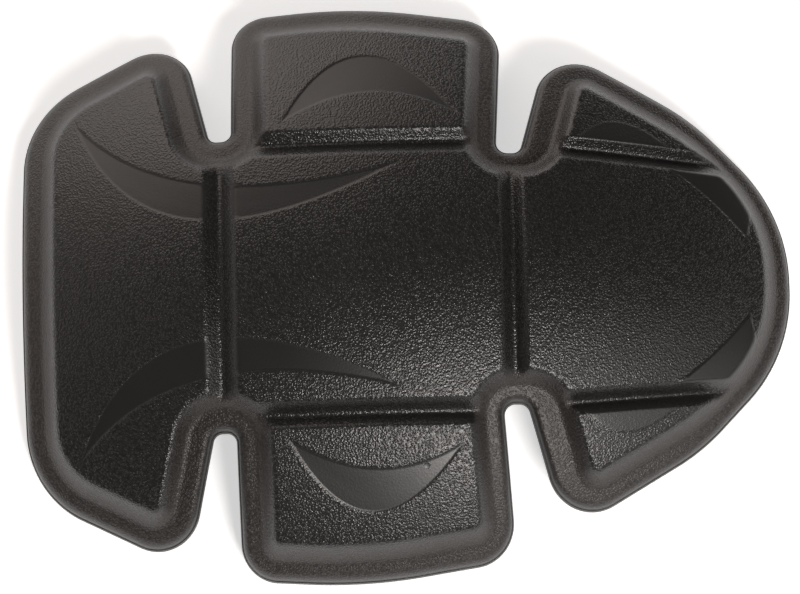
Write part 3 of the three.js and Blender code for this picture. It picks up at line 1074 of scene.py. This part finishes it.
@dataclass(frozen=True)
class FoamFinish:
    """Near-black closed-cell foam with a moulded pebble grain.

    The flange is a little rougher than the fields and painted lighter and browner in uneven patches,
    partly as dust and partly as a painted reflection of the surroundings. The crescents are smooth, the
    grain's creases carry painted shade, and the side wall and the inner skin are painted darker as shade.
    """

    name: str = "pebbled_black_foam"
    pebble: Pebble = field(default_factory=Pebble)
    field_color: tuple[float, float, float, float] = (0.026, 0.0248, 0.0238, 1)
    # The flange's colour, lighter and browner than the field's: partly dust, partly a painted reflection
    # of the surroundings.
    rim_dust_and_reflection_color: tuple[float, float, float, float] = (0.054, 0.044, 0.039, 1)
    # Painted shade: the side wall and the inner skin are given this darker colour to stand for the shade
    # they lie in.
    side_painted_shade_color: tuple[float, float, float, float] = (0.008, 0.0075, 0.007, 1)
    smooth_color: tuple[float, float, float, float] = (0.006, 0.0058, 0.0056, 1)
    # Painted shade that darkens the grain's creases.
    crease_painted_shade_color: tuple[float, float, float, float] = (0.0015, 0.0015, 0.0015, 1)
    roughness: float = 0.33
    smooth_roughness: float = 0.38
    rim_roughness: float = 0.12
    patch_roughness: float = 0.14
    patch_scale: float = 38.0
    dust_scale: float = 900.0
    rim_reflection_and_dust_share: float = 0.6
    rim_patches: float = 0.5
    rim_dust: float = 0.12
    smooth_share: float = 0.85
    side_shade_share: float = 0.75
    crease_shade_share: float = 0.85
    smooth_flattening: float = 0.9
    side_flattening: float = 0.6
    mark_place: tuple[float, float, float] = (0.0033, -0.0493, 0.0332)
    mark_radius: float = 0.0011
    mark_round: float = 0.6
    mark_depth: float = 1.2
    sheen: float = 0.05
    sheen_roughness: float = 0.5
    gloss: float = 0.55

    def _mark(self, shader: Shader, place: Value) -> Value:
        """A small round dent in one crescent, from 0 to 1."""
        away = shader.node(
            "ShaderNodeVectorMath", {"operation": "DISTANCE"}, {0: place, 1: self.mark_place}
        ).value("Value")
        return (1 - away * (1 / self.mark_radius)).clamped() ** self.mark_round

    def build(self) -> bpy.types.Material:
        """Makes the material."""
        shader = Shader(self.name)
        place = shader.node("ShaderNodeTexCoord", {}, {}).value("Object")
        finish = shader.node("ShaderNodeAttribute", {"attribute_name": "finish"}, {}).value("Color")
        parts = shader.node("ShaderNodeSeparateColor", {}, {0: finish})
        smooth, rim, side = parts.value(0), parts.value(1), parts.value(2)
        noise = {"Vector": place, "Scale": self.patch_scale, "Detail": 4.0}
        patches = shader.node("ShaderNodeTexNoise", {}, noise).value()
        noise = {"Vector": place, "Scale": self.dust_scale, "Detail": 3.0}
        dust = shader.node("ShaderNodeTexNoise", {}, noise).value()
        grain = self.pebble.height(shader, place)
        mark = self._mark(shader, place)
        # Painted reflection and dust: the flange is mixed towards a lighter brown in uneven patches,
        # standing for the surroundings' reflection on it as well as dust.
        rim_dust_and_reflection = self.rim_reflection_and_dust_share + patches * self.rim_patches + dust * self.rim_dust
        color = shader.mixed((rim * rim_dust_and_reflection).clamped(), self.field_color, self.rim_dust_and_reflection_color)
        color = shader.mixed(smooth * self.smooth_share, color, self.smooth_color)
        # Painted shade: the side wall and the inner skin are mixed darker to stand for the shade they lie
        # in.
        color = shader.mixed(side * self.side_shade_share, color, self.side_painted_shade_color)
        # Painted shade: the grain's creases are mixed darker to stand for the shade that falls into them.
        color = shader.mixed((1 - grain) * (1 - smooth) * self.crease_shade_share, color, self.crease_painted_shade_color)
        rough = self.roughness + (patches - 0.5) * self.patch_roughness + rim * self.rim_roughness
        rough = rough - smooth * (self.roughness - self.smooth_roughness)
        level = self.pebble.level
        kept = (1 - smooth * self.smooth_flattening) * (1 - side * self.side_flattening)
        height = level + (grain - level) * kept - mark * self.mark_depth
        bump = shader.node(
            "ShaderNodeBump",
            {},
            {"Strength": self.pebble.strength, "Distance": self.pebble.depth, "Height": height},
        ).value()
        surface = shader.node(
            "ShaderNodeBsdfPrincipled",
            {},
            {
                "Base Color": color,
                "Roughness": rough,
                "Normal": bump,
                "Sheen Weight": self.sheen,
                "Sheen Roughness": self.sheen_roughness,
                "Specular IOR Level": self.gloss,
            },
        ).value()
        shader.node("ShaderNodeOutputMaterial", {}, {0: surface})
        return shader.material


@dataclass
class PartingLine:
    """The fine lip that the mould leaves round the side wall, swept along its path.

    finish holds the smooth, rim and side shares that its surface has all over, so it also takes the
    flange's dust and painted reflection and the side wall's painted shade.
    """

    radius: float = 0.0002
    sides: int = 6
    finish: tuple[float, float, float] = (0.3, 1.0, 1.0)

    def _tree(self, material: bpy.types.Material) -> bpy.types.NodeTree:
        """Geometry Nodes that sweep a round bead along a path.

        Args:
            material: What the bead is made of.

        Returns:
            The tree, with the bead's radius and number of sides as named inputs.
        """
        tree = bpy.data.node_groups.new("swept_lip", "GeometryNodeTree")
        face = tree.interface
        face.new_socket("Path", in_out="INPUT", socket_type="NodeSocketGeometry")
        face.new_socket("Bead radius", in_out="INPUT", socket_type="NodeSocketFloat")
        face.new_socket("Bead sides", in_out="INPUT", socket_type="NodeSocketInt")
        face.new_socket("Lip", in_out="OUTPUT", socket_type="NodeSocketGeometry")
        make = tree.nodes.new
        given, result = make("NodeGroupInput"), make("NodeGroupOutput")
        path, round_profile = make("GeometryNodeMeshToCurve"), make("GeometryNodeCurvePrimitiveCircle")
        sweep, real = make("GeometryNodeCurveToMesh"), make("GeometryNodeRealizeInstances")
        paint = make("GeometryNodeSetMaterial")
        paint.inputs["Material"].default_value = material
        sweep.inputs["Fill Caps"].default_value = True
        link = tree.links.new
        link(given.outputs["Path"], path.inputs["Mesh"])
        link(given.outputs["Bead radius"], round_profile.inputs["Radius"])
        link(given.outputs["Bead sides"], round_profile.inputs["Resolution"])
        link(path.outputs["Curve"], sweep.inputs["Curve"])
        link(round_profile.outputs["Curve"], sweep.inputs["Profile Curve"])
        link(sweep.outputs["Mesh"], real.inputs["Geometry"])
        link(real.outputs["Geometry"], paint.inputs["Geometry"])
        link(paint.outputs["Geometry"], result.inputs["Lip"])
        return tree

    def build(self, path: Points, material: bpy.types.Material) -> bpy.types.Object:
        """Makes the lip.

        Args:
            path: Places in metres, all the way round.
            material: What it is made of.

        Returns:
            The finished object.
        """
        mesh = bpy.data.meshes.new("lip_path")
        count = len(path)
        mesh.from_pydata(path.tolist(), [(i, (i + 1) % count) for i in range(count)], [])
        carrier = bpy.data.objects.new("lip_carrier", mesh)
        bpy.context.scene.collection.objects.link(carrier)
        modifier = carrier.modifiers.new("Sweep", "NODES")
        modifier.node_group = self._tree(material)
        sockets = {item.name: item.identifier for item in modifier.node_group.interface.items_tree}
        modifier[sockets["Bead radius"]] = self.radius
        modifier[sockets["Bead sides"]] = self.sides
        bpy.context.view_layer.update()
        evaluated = carrier.evaluated_get(bpy.context.evaluated_depsgraph_get())
        swept = bpy.data.meshes.new_from_object(evaluated)
        bpy.data.objects.remove(carrier)
        swept.name = "parting_lip"
        attribute = swept.attributes.new("finish", "FLOAT_COLOR", "POINT")
        attribute.data.foreach_set("color", [*self.finish, 1.0] * len(swept.vertices))
        swept.polygons.foreach_set("use_smooth", [True] * len(swept.polygons))
        lip = bpy.data.objects.new("parting_lip", swept)
        bpy.context.scene.collection.objects.link(lip)
        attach(lip, BODY)
        return lip


@dataclass(frozen=True)
class Lamp:
    """A square soft light: its place, the length of its side, its power and its colour."""

    name: str
    place: tuple[float, float, float]
    size: float
    power: float
    color: tuple[float, float, float] = (1.0, 1.0, 1.0)


@dataclass
class Studio:
    """Pale floor, soft light and the camera at the photograph's angle.

    Angles are in degrees. The surroundings go from dark_sky to bright_sky as their direction turns
    towards bright_side, between the two ends of the turn.
    """

    elevation: float = 81.59
    azimuth: float = -3.05
    roll: float = 1.48
    distance: float = 0.865
    aim: tuple[float, float, float] = (0.0, 0.0, 0.0353)
    focal_pixels: float = 3345.0
    image_width: float = 800.0
    offset_pixels: tuple[float, float] = (9.14, -20.92)
    sensor_width: float = 36.0
    nearest: float = 0.05
    farthest: float = 20.0
    floor_size: float = 6.0
    floor_color: tuple[float, float, float, float] = (0.86, 0.86, 0.86, 1)
    floor_roughness: float = 0.8
    floor_glow: float = 0.58
    bright_side: tuple[float, float, float] = (-0.5, 0.2, 0.84)
    turn_ends: tuple[float, float] = (0.1, 0.95)
    dark_sky: tuple[float, float, float, float] = (0.03, 0.03, 0.03, 1)
    bright_sky: tuple[float, float, float, float] = (0.13, 0.126, 0.122, 1)
    lamps: tuple[Lamp, ...] = (
        Lamp("window", (0.33, -0.76, 0.97), 0.26, 10.8, (1.0, 0.95, 0.92)),
        Lamp("side_window", (0.89, -0.5, 0.755), 0.6, 2.0, (1.0, 0.95, 0.92)),
        Lamp("wall_glow", (-0.53, 1.16, 0.5), 1.2, 9.3, (1.0, 0.88, 0.82)),
        Lamp("low_glow", (-1.15, 0.1, 0.42), 0.8, 1.1, (1.0, 0.88, 0.82)),
    )

    def _camera(self) -> None:
        """The camera, aimed at the crown from nearly overhead."""
        data = bpy.data.cameras.new("studio_camera")
        data.sensor_width = self.sensor_width
        data.lens = self.focal_pixels / self.image_width * data.sensor_width
        data.shift_x = -self.offset_pixels[0] / self.image_width
        data.shift_y = self.offset_pixels[1] / self.image_width
        data.clip_start, data.clip_end = self.nearest, self.farthest
        camera = bpy.data.objects.new("studio_camera", data)
        up, turn = math.radians(self.elevation), math.radians(self.azimuth)
        back = Vector((math.sin(turn) * math.cos(up), -math.cos(turn) * math.cos(up), math.sin(up)))
        right = Vector((math.cos(turn), math.sin(turn), 0))
        above = back.cross(right)
        tilt = math.radians(self.roll)
        turned_right = right * math.cos(tilt) + above * math.sin(tilt)
        turned_above = above * math.cos(tilt) - right * math.sin(tilt)
        place = Matrix((turned_right, turned_above, back)).transposed().to_4x4()
        place.translation = Vector(self.aim) + back * self.distance
        camera.matrix_world = place
        bpy.context.scene.collection.objects.link(camera)
        bpy.context.scene.camera = camera

    def _floor(self) -> None:
        """A plain pale floor at the level that the pad rests on."""
        shader = Shader("pale_floor")
        surface = shader.node(
            "ShaderNodeBsdfPrincipled",
            {},
            {
                "Base Color": self.floor_color,
                "Roughness": self.floor_roughness,
                "Emission Color": (1, 1, 1, 1),
                "Emission Strength": self.floor_glow,
            },
        ).value()
        shader.node("ShaderNodeOutputMaterial", {}, {0: surface})
        half = self.floor_size / 2
        mesh = bpy.data.meshes.new("floor")
        corners = [(-half, -half, 0), (half, -half, 0), (half, half, 0), (-half, half, 0)]
        mesh.from_pydata(corners, [], [(0, 1, 2, 3)])
        mesh.materials.append(shader.material)
        floor = bpy.data.objects.new("floor", mesh)
        bpy.context.scene.collection.objects.link(floor)

    def _light(self, lamp: Lamp) -> None:
        """A square soft light that faces the pad."""
        data = bpy.data.lights.new(lamp.name, "AREA")
        data.size = lamp.size
        data.energy = lamp.power
        data.color = lamp.color
        light = bpy.data.objects.new(lamp.name, data)
        light.location = lamp.place
        light.rotation_euler = (Vector(lamp.place) - Vector(self.aim)).to_track_quat("Z", "Y").to_euler()
        bpy.context.scene.collection.objects.link(light)

    def _world(self) -> None:
        """Soft surroundings, brightest overhead and to the wide end's side."""
        world = bpy.data.worlds.new("studio_surround")
        world.use_nodes = True
        tree = world.node_tree
        tree.nodes.clear()
        place = tree.nodes.new("ShaderNodeTexCoord")
        facing = tree.nodes.new("ShaderNodeVectorMath")
        facing.operation = "DOT_PRODUCT"
        facing.inputs[1].default_value = self.bright_side
        ramp = tree.nodes.new("ShaderNodeValToRGB")
        sky = tree.nodes.new("ShaderNodeBackground")
        out = tree.nodes.new("ShaderNodeOutputWorld")
        ends = zip(ramp.color_ramp.elements, self.turn_ends, (self.dark_sky, self.bright_sky))
        for element, position, color in ends:
            element.position = position
            element.color = color
        sky.inputs["Strength"].default_value = 1.0
        tree.links.new(place.outputs["Generated"], facing.inputs[0])
        tree.links.new(facing.outputs["Value"], ramp.inputs[0])
        tree.links.new(ramp.outputs[0], sky.inputs[0])
        tree.links.new(sky.outputs[0], out.inputs[0])
        bpy.context.scene.world = world

    def build(self) -> None:
        """Makes the floor, lights, surroundings and camera."""
        self._camera()
        self._floor()
        self._world()
        for lamp in self.lamps:
            self._light(lamp)
        bpy.context.scene.view_settings.view_transform = "Standard"


def main() -> None:
    """Builds the studio and the pad."""
    logging.basicConfig(level=logging.INFO, format="%(name)s: %(message)s")
    Studio().build()
    foam = FoamFinish().build()
    pad_maker = FoamPad()
    pad = pad_maker.build(foam)
    LOG.info("%s: %d faces", pad.name, len(pad.data.polygons))
    lip = PartingLine().build(np.vstack(pad_maker.lip_path()), foam)
    LOG.info("%s: %d faces", lip.name, len(lip.data.polygons))


if __name__ == "__main__":
    main()
